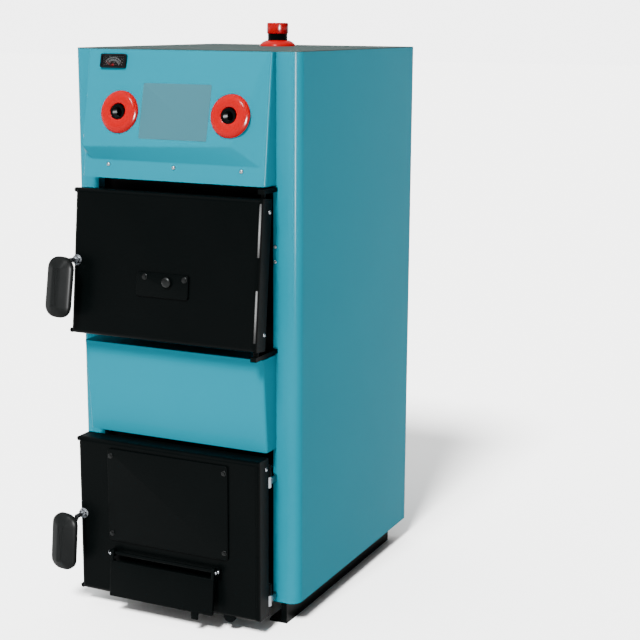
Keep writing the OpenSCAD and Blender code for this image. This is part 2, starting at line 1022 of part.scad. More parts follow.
module door_shell(h, spindle_z) {
  difference() {
    union() {
      translate([-door_x, 0, 0])
        tray(door_w, h, door_d, door_r, door_t);
      difference() {
        door_ears(h);
        translate([-door_x + door_t / 2, 0, 0])
          cube([door_w, door_d, h]);
      }
    }
    hole_back(-door_x + spindle_in, 0, spindle_z, 2 * (spindle_r + run), door_r);
  }
}

// Board behind the door's front, clear of the spindle
module door_lining(h) {
  side = 2 * (spindle_in + spindle_r);
  edge = door_r + ear_d / 2;
  translate([-door_x + side, door_t, edge])
    cube([door_w - 2 * side, lining_t, h - 2 * edge]);
}

module fuel_door_shell() {
  color(black)
    on_fuel_door()
      difference() {
        union() {
          door_shell(upper_h, upper_spindle);
          on_fuel_hinge(barrel_r, door_t / 2, boss_h);
          on_fuel_hinge(barrel_r, upper_h - boss_h, upper_h - door_t / 2);
        }
        on_fuel_hinge(pin_r + run, -cut, boss_h + cut);
        on_fuel_hinge(pin_r + run, upper_h - boss_h - cut, upper_h + cut);
      }
}

module fuel_door_lining() {
  color(lining_grey)
    on_fuel_door()
      door_lining(upper_h);
}

// Plate with a round knob
module secondary_air_plate() {
  color(black)
    on_fuel_door()
      translate([-door_x + slide_in, 0, slide_z]) {
        fitting_plate(slide_w, slide_h, fitting_t, fitting_r);
        translate([slide_w / 2 + knob_shift, 0, slide_h / 2 + knob_d / 4])
          rotate([90, 0, 0])
            cylinder(d = knob_d, h = fitting_t + knob_out);
      }
}

// Round lug at the ash door's lower edge
module door_foot() {
  translate([door_x - foot_in, door_t, foot_d / 2 - foot_out])
    rotate([-90, 0, 0])
      cylinder(d = foot_d, h = 2 * door_t);
}

module ash_door_shell() {
  color(black)
    on_ash_door() {
      door_shell(lower_h, lower_spindle);
      ash_knuckle(ash_top_lug);
      ash_knuckle(ash_low_lug);
      door_foot();
    }
}

module ash_door_lining() {
  color(lining_grey)
    on_ash_door()
      translate([0, 0, foot_d - foot_out])
        door_lining(lower_h - foot_d + foot_out);
}

module ash_door_cover_plate() {
  color(black)
    on_ash_door()
      translate([-door_x + cover_in, 0, cover_z])
        fitting_plate(cover_w, cover_h, fitting_t, fitting_r);
}

// Handles

// Spindle through the door's sheet, with a collar behind it and a lever under the grip
module spindle(z, off) {
  collar_r = spindle_r + play;
  lever_drop = atan(off / (grip_w - grip_rise));
  lever_l = norm([off, grip_w - grip_rise]);
  translate([-door_x + spindle_in, -grip_gap, z]) {
    rotate([-90, 0, 0])
      cylinder(r = spindle_r, h = grip_gap + door_r);
    translate([0, grip_gap + door_r, 0])
      rotate([-90, 0, 0])
        cylinder(r = collar_r, h = spindle_r);
    rotate([0, lever_drop, 0])
      translate([-lever_w / 2, 0, -lever_l])
        cube([lever_w, lever_t, lever_l]);
  }
}

// Moulded grip on the lever's front: a long oval with a ridge down its middle
module grip(z, off, grip_lean) {
  flat_share = 0.62;
  ridge_share = 0.3;
  foot_share = 0.86;
  drop = grip_l - grip_w;
  translate([-door_x + spindle_in - off, -grip_gap, z + grip_rise - grip_w / 2])
    rotate([90, grip_lean, 0])
      hull()
        for (y = [0, -drop])
          translate([0, y, 0]) {
            cylinder(d = grip_w * foot_share, h = grip_d * flat_share, $fn = grip_sides);
            translate([0, 0, grip_d * (1 - flat_share) / 2])
              cylinder(d = grip_w, h = grip_d * flat_share / 2, $fn = grip_sides);
            cylinder(d = grip_w * ridge_share, h = grip_d, $fn = grip_sides);
          }
}

module fuel_door_spindle() {
  color(zinc)
    on_fuel_door()
      spindle(upper_spindle, upper_grip_off);
}

module fuel_door_grip() {
  color(plastic)
    on_fuel_door()
      grip(upper_spindle, upper_grip_off, upper_grip_lean);
}

module ash_door_spindle() {
  color(zinc)
    on_ash_door()
      spindle(lower_spindle, lower_grip_off);
}

module ash_door_grip() {
  color(plastic)
    on_ash_door()
      grip(lower_spindle, lower_grip_off, lower_grip_lean);
}

// Air flap, in the frame of its pivot

module on_flap_pivot() {
  on_ash_door()
    translate([-door_x + flap_in, -pivot_out, pivot_z])
      children();
}

// Rod on two lugs that stand on the door's front
module flap_pivot() {
  color(black)
    on_flap_pivot() {
      translate([-lug_t, 0, 0])
        rotate([0, 90, 0])
          cylinder(r = rod_r, h = flap_w + 2 * lug_t);
      for (x = [-lug_t, flap_w])
        translate([x, 0, -2 * rod_r])
          cube([lug_t, pivot_out, 3 * rod_r]);
    }
}

// Shallow tray that hangs from the rod by two ears and leans out at its lower edge
module air_flap() {
  face_y = -rod_r - flap_t;
  low = -flap_down - flap_h;
  rim = [
    [-flap_down, face_y], [-flap_down, pivot_out - flap_gap - flap_down * sin(flap_lean)],
    [low, pivot_out - flap_gap + low * sin(flap_lean)], [low, face_y]
  ];
  width = flap_w - 2 * play;
  color(black)
    on_flap_pivot()
      rotate([-flap_lean, 0, 0])
        difference() {
          union() {
            translate([play, face_y, low])
              cube([width, flap_t, flap_h]);
            for (x = [play, play + width - flap_t])
              across(x, flap_t)
                polygon(rim);
            for (x = [play, play + width - lug_t]) {
              translate([x, face_y, -flap_down - flap_t])
                cube([lug_t, flap_t, flap_down + flap_t + rod_r]);
              translate([x, face_y, -rod_r - flap_t])
                cube([lug_t, 2 * (rod_r + flap_t), 2 * (rod_r + flap_t)]);
            }
            translate([play + width - tab_in - tab_w, face_y, low - tab_l])
              cube([tab_w, flap_t, tab_l + flap_t]);
          }
          translate([-cut, 0, 0])
            rotate([0, 90, 0])
              cylinder(r = rod_r + run, h = flap_w + 2 * cut);
        }
}

left_side_panel();
right_side_panel();
top_cover();
rear_panel();
control_panel();
middle_panel();
left_base_rail();
right_base_rail();
base_cross_bar();
floor_plate();
front_plate();
left_water_jacket();
right_water_jacket();
rear_water_jacket();
crown_water_jacket();
left_grate_ledge();
right_grate_ledge();
fire_grate();
fuel_door_frame();
ash_door_frame();
flow_pipe();
flow_pipe_rosette();
flow_pipe_cap();
left_socket();
right_socket();
left_rosette();
right_rosette();
thermometer_case();
thermometer_face();
flue_collar();
return_pipe();
drain_socket();
fuel_door_top_hinge();
fuel_door_low_hinge();
ash_door_top_hinge();
ash_door_low_hinge();
fuel_door_shell();
fuel_door_lining();
secondary_air_plate();
fuel_door_spindle();
fuel_door_grip();
ash_door_shell();
ash_door_lining();
ash_door_cover_plate();
flap_pivot();
ash_door_spindle();
ash_door_grip();
air_flap();
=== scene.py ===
"""Solid fuel boiler: camera, light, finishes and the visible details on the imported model."""
import json
import math

import bmesh
import bpy
from mathutils import Matrix, Vector


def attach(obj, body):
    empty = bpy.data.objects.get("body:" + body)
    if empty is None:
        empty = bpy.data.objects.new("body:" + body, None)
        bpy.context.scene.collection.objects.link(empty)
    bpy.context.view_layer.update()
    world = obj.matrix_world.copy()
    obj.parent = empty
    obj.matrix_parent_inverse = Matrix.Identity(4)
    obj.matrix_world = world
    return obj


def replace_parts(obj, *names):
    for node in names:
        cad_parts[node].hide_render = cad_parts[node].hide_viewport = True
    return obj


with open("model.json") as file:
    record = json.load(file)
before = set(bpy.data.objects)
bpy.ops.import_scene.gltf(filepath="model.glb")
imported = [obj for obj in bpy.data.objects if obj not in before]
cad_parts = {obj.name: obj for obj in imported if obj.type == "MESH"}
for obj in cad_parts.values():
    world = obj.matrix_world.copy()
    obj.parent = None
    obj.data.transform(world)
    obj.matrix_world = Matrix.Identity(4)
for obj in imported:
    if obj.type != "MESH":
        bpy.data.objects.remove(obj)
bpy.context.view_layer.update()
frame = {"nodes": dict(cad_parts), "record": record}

# Every piece is modelled in millimetres in the model's own frame and scaled to metres once
MM = 0.001


def turn(angle, axis):
    return Matrix.Rotation(math.radians(angle), 4, axis)


def shift(x, y, z):
    return Matrix.Translation((x, y, z))


# A turned piece is drawn along +Z; FACING stands it on a front face, BACKING on a rear face
# and SIDING on a right-hand face
FACING = turn(90, "X")
BACKING = turn(-90, "X")
SIDING = turn(90, "Y")


# Places

# The columns' front, the casing's rear edge and the top cover's upper face
COLUMN_Y, REAR_Y, COVER_Z = -308.0, 340.0, 1285.209
# The control panel's half width, its lower edge, its upper edge and its height
PANEL_X, PANEL_LOW, PANEL_TOP, PANEL_H = 229.5, 1003.209, 1283.209, 280
# The pipes' and sockets' ends, as the record gives them
MOUNTS = {
    mount["name"]: [round(c / MM, 3) for c in mount["pos_m"]]
    for mount in frame["record"]["mounts"]
}
SOCKETS =(MOUNTS["left_socket"][0], MOUNTS["right_socket"][0])
SOCKET_Z = MOUNTS["left_socket"][2]
FLOW_Y = MOUNTS["flow_pipe"][1]

# The panel leans out from its top edge, and the hood on it leans out further
PANEL_TOP_OUT, PANEL_LEAN_OUT, HOOD_LEAN_OUT = 18, 34, 48
EDGE_R = 6.0
LIP_Z, BROW_Z = PANEL_LOW + 73, PANEL_LOW + 40
# The hood's corners as (X, Z): the lip's ends, the brow's ends and the ends on the panel's sides
LIP_LEFT, LIP_RIGHT = (11 - PANEL_X, LIP_Z - 4), (PANEL_X - 76, LIP_Z + 10)
BROW_LEFT, BROW_RIGHT = (25 - PANEL_X, BROW_Z), (PANEL_X - 13, BROW_Z)
HIP_LEFT, HIP_RIGHT = (EDGE_R - PANEL_X, PANEL_LOW + 52), (PANEL_X - EDGE_R, PANEL_LOW + 64)

# Each door's outer face: half its width, its place in front of the columns and its lean
DOOR_X = 234.5
FUEL_OUT, FUEL_Z, FUEL_LEAN = 110, 656, -6
ASH_OUT, ASH_Z = 95, 38
FUEL_DOOR = shift(0, COLUMN_Y - FUEL_OUT, FUEL_Z) @ turn(FUEL_LEAN, "X")
ASH_DOOR = shift(0, COLUMN_Y - ASH_OUT, ASH_Z)


def base_out(z):
    return PANEL_TOP_OUT + (PANEL_TOP - z) * PANEL_LEAN_OUT / PANEL_H


def hood_out(z):
    return PANEL_TOP_OUT + (PANEL_TOP - z) * HOOD_LEAN_OUT / (PANEL_TOP - LIP_Z)


def on_hood(x, z):
    """Place on the hood's leaning face."""
    lean = math.atan(HOOD_LEAN_OUT / (PANEL_TOP - LIP_Z))
    return shift(x, COLUMN_Y - hood_out(z), z) @ Matrix.Rotation(-lean, 4, "X")


def on_strip(x, z):
    """Place on the panel's lower strip."""
    lean = math.atan(PANEL_LEAN_OUT / PANEL_H)
    return shift(x, COLUMN_Y - base_out(z), z) @ Matrix.Rotation(-lean, 4, "X")


# Camera

# Worked out from the casing's edges: place in metres, angles in degrees, focal length in pixels
CAMERA_AT = (1.6176, -3.0432, 1.3555)
CAMERA_YAW, CAMERA_DOWN, CAMERA_ROLL = 25.122, 11.916, 0.368
FOCAL_PX, PICTURE_PX = 1435.9, 640
SENSOR_MM = 36


def place_camera():
    data = bpy.data.cameras.new("photo_camera")
    data.sensor_width = SENSOR_MM
    data.lens = SENSOR_MM * FOCAL_PX / PICTURE_PX
    data.clip_end = 200
    camera = bpy.data.objects.new("photo_camera", data)
    bpy.context.collection.objects.link(camera)
    camera.matrix_world = (
        Matrix.Translation(CAMERA_AT)
        @ turn(CAMERA_YAW, "Z") @ turn(90 - CAMERA_DOWN, "X") @ turn(CAMERA_ROLL, "Z")
    )
    bpy.context.scene.camera = camera


# Finishes

def linear(code):
    """An sRGB hex colour as linear RGBA."""
    parts = [int(code[i:i + 2], 16) / 255 for i in (1, 3, 5)]
    return tuple(c / 12.92 if c <= 0.04045 else ((c + 0.055) / 1.055) ** 2.4 for c in parts) + (1.0,)


def per_mm(size):
    """Pattern scale on coordinates in metres for a feature of that many millimetres."""
    return 1 / (size * MM)


def add(tree, kind, inputs=(), **settings):
    """Adds a node with its settings, values and links."""
    node = tree.nodes.new(kind)
    for name, value in settings.items():
        setattr(node, name, value)
    for name, value in dict(inputs).items():
        if isinstance(value, bpy.types.NodeSocket):
            tree.links.new(value, node.inputs[name])
        else:
            node.inputs[name].default_value = value
    return node


def new_finish(name, **values):
    """Material with constant values on its shader's sockets."""
    material = bpy.data.materials.new(name)
    material.use_nodes = True
    tree = material.node_tree
    shader = tree.nodes["Principled BSDF"]
    for socket, value in values.items():
        shader.inputs[socket.replace("_", " ")].default_value = value
    place = add(tree, "ShaderNodeTexCoord").outputs["Object"]
    return material, tree, shader, place


def noise(tree, place, size, detail):
    """Noise with features of that many millimetres."""
    settings = {"Vector": place, "Scale": per_mm(size), "Detail": detail}
    return add(tree, "ShaderNodeTexNoise", settings).outputs["Fac"]


def cells(tree, place, size):
    """Distance to the middle of cells of that many millimetres."""
    return add(tree, "ShaderNodeTexVoronoi", {"Vector": place, "Scale": per_mm(size)}).outputs["Distance"]


def tint(tree, shader, factor, dark, light):
    """Base colour that drifts between two hex colours."""
    ramp = add(tree, "ShaderNodeMix", {"Factor": factor}, data_type="RGBA")
    ramp.inputs["A"].default_value = linear(dark)
    ramp.inputs["B"].default_value = linear(light)
    tree.links.new(ramp.outputs["Result"], shader.inputs["Base Color"])


def gloss(tree, shader, factor, low, high):
    """Roughness that drifts between two values."""
    span = add(tree, "ShaderNodeMapRange", {"Value": factor, "To Min": low, "To Max": high})
    tree.links.new(span.outputs["Result"], shader.inputs["Roughness"])


def relief(tree, shader, height, depth):
    """Bump of that many millimetres."""
    bump = add(tree, "ShaderNodeBump", {"Height": height, "Strength": 1.0, "Distance": depth * MM})
    tree.links.new(bump.outputs["Normal"], shader.inputs["Normal"])


def smooth_coat(name, dark, light, low, high, peel, shine=0.0045):
    """Powder coat baked on sheet steel, or a film stuck to it: an even satin skin with orange peel.
    The peel is about 1.5 mm across and drawn at 3 mm so that it shows."""
    material, tree, shader, place = new_finish(name, Specular_IOR_Level=shine)
    skin = noise(tree, place, 3, 1.0)
    tint(tree, shader, noise(tree, place, 260, 2.0), dark, light)
    gloss(tree, shader, skin, low, high)
    relief(tree, shader, skin, peel)
    return material


def stove_paint():
    """Black heat-proof paint on welded steel: satin, slightly dusty, with a fine sprayed tooth
    of about 1 mm drawn at 2 mm."""
    material, tree, shader, place = new_finish("stove paint, sprayed black", Specular_IOR_Level=0.013)
    cloud = noise(tree, place, 90, 4.0)
    tint(tree, shader, cloud, "#010202", "#020303")
    gloss(tree, shader, cloud, 0.26, 0.4)
    relief(tree, shader, noise(tree, place, 2, 2.0), 0.05)
    return material


def fine_grained(name, dark, light, low, high, grain, depth, shine=0.06):
    """Moulded plastic with the grain of its spark-eroded mould, or printing with the grain of its ink."""
    material, tree, shader, place = new_finish(name, Specular_IOR_Level=shine)
    flow = noise(tree, place, 35, 2.0)
    tint(tree, shader, flow, dark, light)
    gloss(tree, shader, flow, low, high)
    relief(tree, shader, noise(tree, place, grain, 2.0), depth)
    return material


def plated_steel(name, dark, light, low, high):
    """Plated turned and stamped steel with a faint cloudy bloom of about 9 mm."""
    material, tree, shader, place = new_finish(name, Metallic=1.0)
    bloom = noise(tree, place, 9, 4.0)
    tint(tree, shader, bloom, dark, light)
    gloss(tree, shader, bloom, low, high)
    return material


def boiler_plate():
    """Hot-rolled boiler plate: dull grey mill scale in patches of about 40 mm."""
    material, tree, shader, place = new_finish("boiler plate, hot rolled", Metallic=0.7)
    scale = noise(tree, place, 40, 8.0)
    tint(tree, shader, scale, "#303235", "#555553")
    gloss(tree, shader, scale, 0.45, 0.7)
    relief(tree, shader, scale, 0.3)
    return material


def cast_iron():
    """Grey cast iron from a sand mould: sand grain of about 1 mm, drawn at 2 mm."""
    material, tree, shader, place = new_finish("cast iron, sand cast", Metallic=0.4)
    sand = noise(tree, place, 2, 5.0)
    tint(tree, shader, sand, "#141415", "#2c2c2d")
    gloss(tree, shader, sand, 0.6, 0.85)
    relief(tree, shader, sand, 0.4)
    return material


def lining_board():
    """Pressed vermiculite board: pale, with golden flakes of 2 to 4 mm."""
    material, tree, shader, place = new_finish("vermiculite board, pressed", Roughness=0.9)
    flakes = cells(tree, place, 3.2)
    tint(tree, shader, flakes, "#6f6754", "#4e4434")
    relief(tree, shader, flakes, 0.5)
    return material


def seal_rope():
    """Knitted glass-fibre rope: stitches of about 3 mm along and across."""
    material, tree, shader, place = new_finish("glass-fibre rope, knitted", Roughness=0.95)
    slant = add(tree, "ShaderNodeMapping", {"Vector": place, "Rotation": (0.0, math.radians(45), 0.0)})
    stitch = cells(tree, slant.outputs["Vector"], 3)
    tint(tree, shader, stitch, "#74716a", "#47453f")
    relief(tree, shader, stitch, 0.8)
    return material


def window_clear():
    """Clear acrylic window of the thermometer, with a slight haze."""
    material, tree, shader, place = new_finish(
        "acrylic, clear", Base_Color=linear("#f2f5f5"), Transmission_Weight=1.0, IOR=1.12)
    gloss(tree, shader, noise(tree, place, 20, 2.0), 0.03, 0.08)
    return material


TURQUOISE = smooth_coat("powder coat, turquoise on sheet steel", "#014e5c", "#025260", 0.15, 0.21, 0.02)
COVER_GREY = smooth_coat("powder coat, grey on sheet steel", "#293130", "#2f3736", 0.55, 0.65, 0.02, 0.001)
LABEL_FILM = smooth_coat("polyester film, matt grey", "#21424a", "#27464e", 0.42, 0.5, 0.005)
STOVE_BLACK = stove_paint()
RED_PLASTIC = fine_grained("ABS, moulded red", "#6c0104", "#740205", 0.16, 0.24, 6, 0.01, 0.04)
GRIP_PLASTIC = fine_grained("nylon, moulded black", "#090a0a", "#0d0e0e", 0.34, 0.46, 1.2, 0.03, 0.012)
BEZEL_BLACK = fine_grained("ABS, moulded black", "#050606", "#08090b", 0.22, 0.32, 3, 0.01)
DIAL_BLACK = fine_grained("printed sheet, black", "#131213", "#181718", 0.4, 0.5, 4, 0.004)
DIAL_WHITE = fine_grained("printing ink, white", "#797a7b", "#848485", 0.4, 0.5, 4, 0.004)
DIAL_RED = fine_grained("printing ink, red", "#6c0406", "#740708", 0.4, 0.5, 4, 0.004)
ZINC = plated_steel("zinc plating, bright", "#5f6267", "#818487", 0.2, 0.42)
PHOSPHATE = plated_steel("steel, phosphated black", "#121313", "#1b1c1c", 0.32, 0.48)
STEEL = boiler_plate()
IRON = cast_iron()
LINING = lining_board()
ROPE = seal_rope()
WINDOW = window_clear()

SLOT_FINISH = {
    "turquoise_powder_coat": TURQUOISE,
    "grey_powder_coat": COVER_GREY,
    "black_stove_paint": STOVE_BLACK,
    "raw_steel": STEEL,
    "cast_grate": IRON,
    "red_plastic": RED_PLASTIC,
    "black_plastic": GRIP_PLASTIC,
    "zinc_plate": ZINC,
    "lining_board": LINING,
    "dial_print": DIAL_BLACK,
}


def paint_solids():
    """Every carried-over solid gets the finish of its slot."""
    for part in frame["record"]["subparts"]:
        solid = frame["nodes"][part["node"]]
        for slot in solid.material_slots:
            slot.material = SLOT_FINISH[part["material_slot"]]


# Making pieces

def piece(name, bm, finish, body="boiler", sharp=35.0, flat_over=80.0):
    """Turns a finished bmesh in millimetres into an object that rides on a body.
    Faces over that many square millimetres stay flat."""
    bmesh.ops.remove_doubles(bm, verts=bm.verts[:], dist=0.002)
    bmesh.ops.recalc_face_normals(bm, faces=bm.faces[:])
    for face in bm.faces:
        face.smooth = face.calc_area() < flat_over
    bmesh.ops.scale(bm, vec=(MM, MM, MM), verts=bm.verts[:])
    mesh = bpy.data.meshes.new(name)
    bm.to_mesh(mesh)
    bm.free()
    mesh.materials.append(finish)
    mesh.set_sharp_from_angle(angle=math.radians(sharp))
    obj = bpy.data.objects.new(name, mesh)
    bpy.context.collection.objects.link(obj)
    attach(obj, body)
    return obj


def soften(bm, edges, size, segments=3):
    bmesh.ops.bevel(
        bm, geom=list(edges), offset=size, offset_type="OFFSET", segments=segments,
        profile=0.5, affect="EDGES", material=-1, clamp_overlap=True,
    )


def round_corners(bm, corners, size, segments):
    bmesh.ops.bevel(
        bm, geom=corners, offset=size, segments=segments, profile=0.5, affect="VERTICES", material=-1,
    )


def fresh_verts(bm, before):
    return [v for v in bm.verts if v not in before]


def only(kind, geom):
    return [g for g in geom if isinstance(g, kind)]


def turned(bm, profile, place, steps=64):
    """Spins a profile of (radius, height) points round Z and puts it in its place."""
    before = set(bm.verts)
    points = [bm.verts.new((r, 0, h)) for r, h in profile]
    edges = [bm.edges.new(pair) for pair in zip(points, points[1:])]
    bmesh.ops.spin(
        bm, geom=points + edges, cent=(0, 0, 0), axis=(0, 0, 1), angle=math.tau,
        steps=steps, use_merge=True,
    )
    bmesh.ops.transform(bm, matrix=place, verts=fresh_verts(bm, before))


def block(bm, low, high, place=Matrix(), edge=0.0, segments=3):
    """Box between two corners with its edges eased."""
    before = set(bm.verts)
    low, high = Vector(low), Vector(high)
    size = Matrix.Diagonal((high - low).to_4d())
    size[3][3] = 1
    bmesh.ops.create_cube(bm, size=1, matrix=Matrix.Translation((low + high) / 2) @ size)
    if edge:
        edges = {e for v in fresh_verts(bm, before) for e in v.link_edges}
        soften(bm, edges, edge, segments)
    bmesh.ops.transform(bm, matrix=place, verts=fresh_verts(bm, before))


def hex_screw(bm, place, across, height, flange):
    """Hexagon head on a flange, standing along +Z of its place."""
    rim = flange / 2
    turned(bm, [(0, 0), (rim, 0), (rim, 0.7), (rim * 0.86, 1.3), (0, 1.5)], place, 32)
    before = set(bm.verts)
    r = across / math.sqrt(3)
    bmesh.ops.create_cone(
        bm, cap_ends=True, segments=6, radius1=r, radius2=r, depth=height, matrix=shift(0, 0, height / 2),
    )
    top = {
        e for v in fresh_verts(bm, before) for e in v.link_edges
        if all(w.co.z > height - 0.1 for w in e.verts)
    }
    soften(bm, top, 0.7, 2)
    bmesh.ops.transform(bm, matrix=place, verts=fresh_verts(bm, before))


def dome_screw(bm, place, d):
    """Low domed head with a round recess, standing along +Z of its place."""
    r, h = d / 2, d * 0.32
    recess_r, recess_h = r * 0.3, h * 0.35
    turned(bm, [(0, recess_h), (recess_r, recess_h), (recess_r, h), (r * 0.62, h * 0.86), (r * 0.9, h * 0.48),
                (r, 0), (0, 0)], place, 32)


def thread(root, crest, start, pitch, turns):
    """Zigzag of a thread's flanks as (radius, height) points, running down from the start."""
    points = []
    for i in range(turns):
        points += [(root, start - pitch * i), (crest, start - pitch * (i + 0.5))]
    return points


def oblong(bm, w, low, high, corner, level, segments=8):
    """Flat face with round corners in XY, facing up."""
    before = set(bm.verts)
    spread = shift(0, (low + high) / 2, level) @ Matrix.Diagonal((w, high - low, 1, 1))
    bmesh.ops.create_grid(bm, x_segments=1, y_segments=1, size=0.5, matrix=spread)
    round_corners(bm, fresh_verts(bm, before), corner, segments)
    return fresh_verts(bm, before)[0].link_faces[0]


def thicken(bm, face, depth):
    """Pulls a face up by a depth, leaving its own copy as the bottom; returns the top face."""
    out = bmesh.ops.extrude_face_region(bm, geom=[face], use_keep_orig=True)["geom"]
    bmesh.ops.translate(bm, vec=(0, 0, depth), verts=only(bmesh.types.BMVert, out))
    face.normal_flip()
    return only(bmesh.types.BMFace, out)[0]


def rounded_plate(bm, w, h, thick, corner, edge, place, border=0.0, well=0.0):
    """Plate w by h in XZ with round corners and eased front edges; its back lies on Y = 0.
    With a border its middle is sunk by the depth of the well."""
    before = set(bm.verts)
    bmesh.ops.create_grid(bm, x_segments=1, y_segments=1, size=0.5, matrix=Matrix.Diagonal((w, h, 1, 1)))
    round_corners(bm, fresh_verts(bm, before), corner, 6)
    face = fresh_verts(bm, before)[0].link_faces[0]
    out = bmesh.ops.extrude_face_region(bm, geom=[face])["geom"]
    bmesh.ops.translate(bm, vec=(0, 0, thick), verts=only(bmesh.types.BMVert, out))
    front = {e for face in only(bmesh.types.BMFace, out) for e in face.edges}
    soften(bm, front, edge)
    if well:
        faces = [f for v in fresh_verts(bm, before) for f in v.link_faces]
        front_face = max(faces, key=lambda f: f.calc_center_median().z)
        bmesh.ops.inset_region(bm, faces=[front_face], thickness=border, use_even_offset=True)
        bmesh.ops.inset_region(bm, faces=[front_face], thickness=0.2, depth=-well, use_even_offset=True)
    stand = place @ shift(w / 2, 0, h / 2) @ FACING
    bmesh.ops.transform(bm, matrix=stand, verts=fresh_verts(bm, before))


# Control panel

PANEL_COLS, PANEL_ROWS, EDGE_COLS = 236, 140, 6
PANEL_SHEET = 1.2
SOCKET_CUT_R = 27
FILM_W, FILM_H, FILM_X, FILM_Z = 170, 122, -76, 1094


def swell(x, z):
    """How far the pressed hood stands out of the panel's plane, its folds rounded."""
    def least(a, b, k):
        t = max(k - abs(a - b), 0) / k
        return min(a, b) - t * t * k / 4

    def facet(start, end, corner):
        """Flat face that rises from a line on the panel to a corner of the lip."""
        def side(p):
            return (end[0] - start[0]) * (p[1] - start[1]) - (end[1] - start[1]) * (p[0] - start[0])
        return (hood_out(corner[1]) - base_out(corner[1])) * side((x, z)) / side(corner)

    along = (x - LIP_LEFT[0]) / (LIP_RIGHT[0] - LIP_LEFT[0])
    lip = LIP_LEFT[1] + along * (LIP_RIGHT[1] - LIP_LEFT[1])
    deep = least(
        hood_out(z) - base_out(z),
        (hood_out(lip) - base_out(lip)) * (z - BROW_Z) / (lip - BROW_Z),
        1.6,
    )
    for start, end, corner in (
            ((HIP_LEFT[0], PANEL_TOP), HIP_LEFT, LIP_LEFT), (HIP_LEFT, BROW_LEFT, LIP_LEFT),
            (BROW_RIGHT, HIP_RIGHT, LIP_RIGHT), (HIP_RIGHT, (HIP_RIGHT[0], PANEL_TOP), LIP_RIGHT)):
        deep = least(deep, facet(start, end, corner), 1.4)
    return max(deep, 0) if abs(deep) > 0.5 else (deep + 0.5) ** 2 / 2


def near_socket(face):
    middle = face.calc_center_median()
    return min(math.hypot(middle.x - x, middle.z - SOCKET_Z) for x in SOCKETS) < SOCKET_CUT_R


def control_panel():
    """Pressed front sheet with rounded side edges, folded back onto the columns."""
    bm = bmesh.new()
    bmesh.ops.create_grid(bm, x_segments=PANEL_COLS, y_segments=PANEL_ROWS, size=0.5)
    flat = PANEL_X - EDGE_R
    for v in bm.verts:
        col = (v.co.x + 0.5) * PANEL_COLS
        over = max(EDGE_COLS - col, col - (PANEL_COLS - EDGE_COLS), 0) / EDGE_COLS * math.pi / 2
        x = (col - PANEL_COLS / 2) / (PANEL_COLS / 2 - EDGE_COLS) * flat
        if over:
            x = math.copysign(flat + EDGE_R * math.sin(over), x)
        z = PANEL_LOW + (v.co.y + 0.5) * PANEL_H
        v.co = (x, COLUMN_Y - base_out(z) - swell(x, z) + EDGE_R * (1 - math.cos(over)), z)
    rim = [e for e in bm.edges if e.is_boundary]
    level = [e for e in rim if abs(e.verts[0].co.z - e.verts[1].co.z) < 0.01]
    bmesh.ops.delete(bm, geom=[f for f in bm.faces if near_socket(f)], context="FACES")
    out = bmesh.ops.extrude_edge_only(bm, edges=rim)["geom"]
    for v in only(bmesh.types.BMVert, out):
        v.co.y = COLUMN_Y
    soften(bm, level, 1.0, 2)
    bmesh.ops.dissolve_degenerate(bm, edges=bm.edges[:], dist=0.001)
    bmesh.ops.recalc_face_normals(bm, faces=bm.faces[:])
    bmesh.ops.solidify(bm, geom=bm.faces[:], thickness=PANEL_SHEET)
    panel = piece("pressed_control_panel", bm, TURQUOISE)
    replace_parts(panel, "control_panel")

    bm = bmesh.new()
    for x in (-163, 4, 171):
        dome_screw(bm, on_strip(x, 1033) @ FACING, d=9.5)
    piece("panel_screws", bm, ZINC)

    bm = bmesh.new()
    rounded_plate(bm, FILM_W, FILM_H, thick=0.35, corner=3, edge=0.12, place=on_hood(FILM_X, FILM_Z))
    piece("panel_film", bm, LABEL_FILM)


# Red rosettes and cap, and the sockets' threads

# Outlines as (radius, height) points
SOCKET_ROSETTE = [
    (18.0, 0.2), (18.0, 7.4), (18.6, 8.4), (20.0, 8.9), (24, 9.9), (30, 10.6), (36, 10.2), (40.5, 8.8),
    (44, 6.2), (46.2, 3.2), (47.0, 1.0), (47.0, 0.2), (18.0, 0.2),
]
FLOW_ROSETTE = [
    (24.3, 0.2), (24.3, 13.2), (25.6, 14.0), (29, 13.4), (36, 10.2), (41.5, 5.6), (43.6, 2.2), (44, 0.2),
    (24.3, 0.2),
]
FLOW_CAP = [
    (24.3, 0), (26.0, 0), (26.3, 0.6), (26.2, 22), (25.4, 25.2), (23.6, 26.0), (17.5, 26.0), (16.8, 25.4),
    (0, 25.4), (0, 24.2), (24.3, 24.2), (24.3, 0),
]
FLOW_CAP_UP = 30
SOCKET_OUT = 11
SOCKET_THREAD = {"root": 12.02, "crest": 11.0, "start": -1.5, "pitch": 1.8, "turns": 16}
SOCKET_THREAD_BACK = 12.1


def rosettes():
    for name, x in zip(("left_rosette", "right_rosette"), SOCKETS):
        bm = bmesh.new()
        turned(bm, SOCKET_ROSETTE, on_hood(x, SOCKET_Z) @ FACING, 96)
        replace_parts(piece("domed_" + name, bm, RED_PLASTIC), name)

    bm = bmesh.new()
    turned(bm, FLOW_ROSETTE, shift(0, FLOW_Y, COVER_Z), 96)
    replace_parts(piece("domed_flow_rosette", bm, RED_PLASTIC), "flow_pipe_rosette")

    bm = bmesh.new()
    turned(bm, FLOW_CAP, shift(0, FLOW_Y, COVER_Z + FLOW_CAP_UP), 96)
    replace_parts(piece("pressed_flow_cap", bm, RED_PLASTIC), "flow_pipe_cap")


